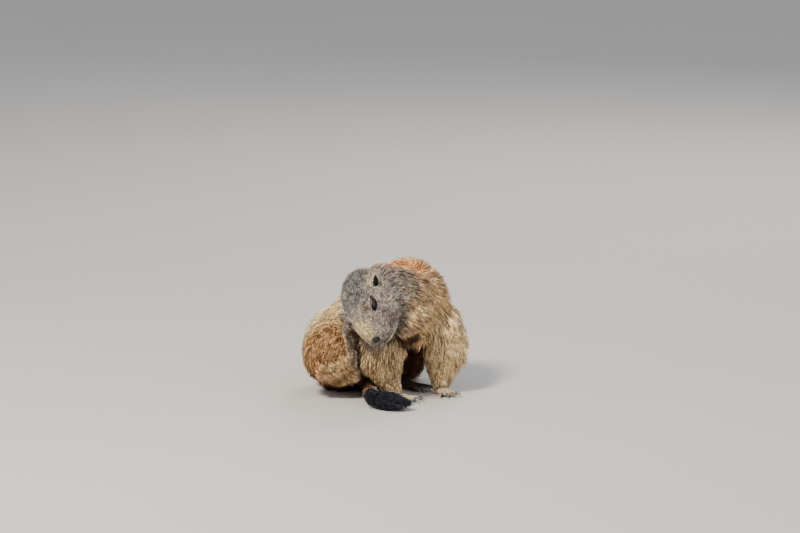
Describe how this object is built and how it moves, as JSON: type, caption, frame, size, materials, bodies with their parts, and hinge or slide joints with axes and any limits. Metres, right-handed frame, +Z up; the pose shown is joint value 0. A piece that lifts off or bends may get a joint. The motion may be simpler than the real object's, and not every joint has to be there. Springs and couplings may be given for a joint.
{
  "type": "alpine marmot",
  "caption": "Life-size alpine marmot that sits hunched on the floor, head bowed to one side, and scratches its cheek with a raised hind foot.",
  "frame": {"origin": "at floor level under the middle of the body's bounding box", "axes": "+Z up, the side the face looks to along -Y, +X to the right of a viewer who faces the animal"},
  "size_m": [0.2294, 0.2822, 0.1888],
  "materials": {
    "eye": "wet near-black brown",
    "nose": "fine grained dark grey skin",
    "face_fur": "short grey grizzled fur, pale on the muzzle",
    "ear": "short pale fur with a dark hollow",
    "paw": "short tan fur over the toes",
    "claw": "grey horn, paler at the tips",
    "hind_foot": "bare grey sole skin with short tan fur on the back",
    "neck_fur": "grey grizzled fur that turns orange-tan",
    "trunk_fur": "coarse golden orange-tan fur",
    "foreleg_fur": "long pale tan fur with dark roots",
    "hindleg_fur": "dense golden orange fur",
    "tail_base": "brown fur",
    "tail_tip": "blue-black brush"
  },
  "bodies": {
    "root": {"eye_left": "eye", "eye_right": "eye", "nose": "nose", "jaw": "face_fur", "head": "face_fur", "ear_left": "ear", "ear_right": "ear", "forepaw_right": "paw", "forepaw_right_claw_1": "claw", "forepaw_right_claw_2": "claw", "forepaw_right_claw_3": "claw", "forepaw_right_claw_4": "claw", "forepaw_left": "paw", "forepaw_left_claw_1": "claw", "forepaw_left_claw_2": "claw", "forepaw_left_claw_3": "claw", "forepaw_left_claw_4": "claw", "hind_foot_right": "hind_foot", "hind_foot_right_claw_1": "claw", "hind_foot_right_claw_2": "claw", "hind_foot_right_claw_3": "claw", "hind_foot_right_claw_4": "claw", "hind_foot_right_claw_5": "claw", "hind_foot_left": "hind_foot", "hind_foot_left_claw_1": "claw", "hind_foot_left_claw_2": "claw", "hind_foot_left_claw_3": "claw", "hind_foot_left_claw_4": "claw", "hind_foot_left_claw_5": "claw", "neck": "neck_fur", "thorax": "trunk_fur", "abdomen": "trunk_fur", "rump": "trunk_fur", "upper_arm_right": "foreleg_fur", "forearm_right": "foreleg_fur", "thigh_right": "hindleg_fur", "shank_right": "hindleg_fur", "upper_arm_left": "foreleg_fur", "forearm_left": "foreleg_fur", "thigh_left": "hindleg_fur", "shank_left": "hindleg_fur", "tail_base": "tail_base", "tail_tip": "tail_tip"}
  },
  "joints": []
}
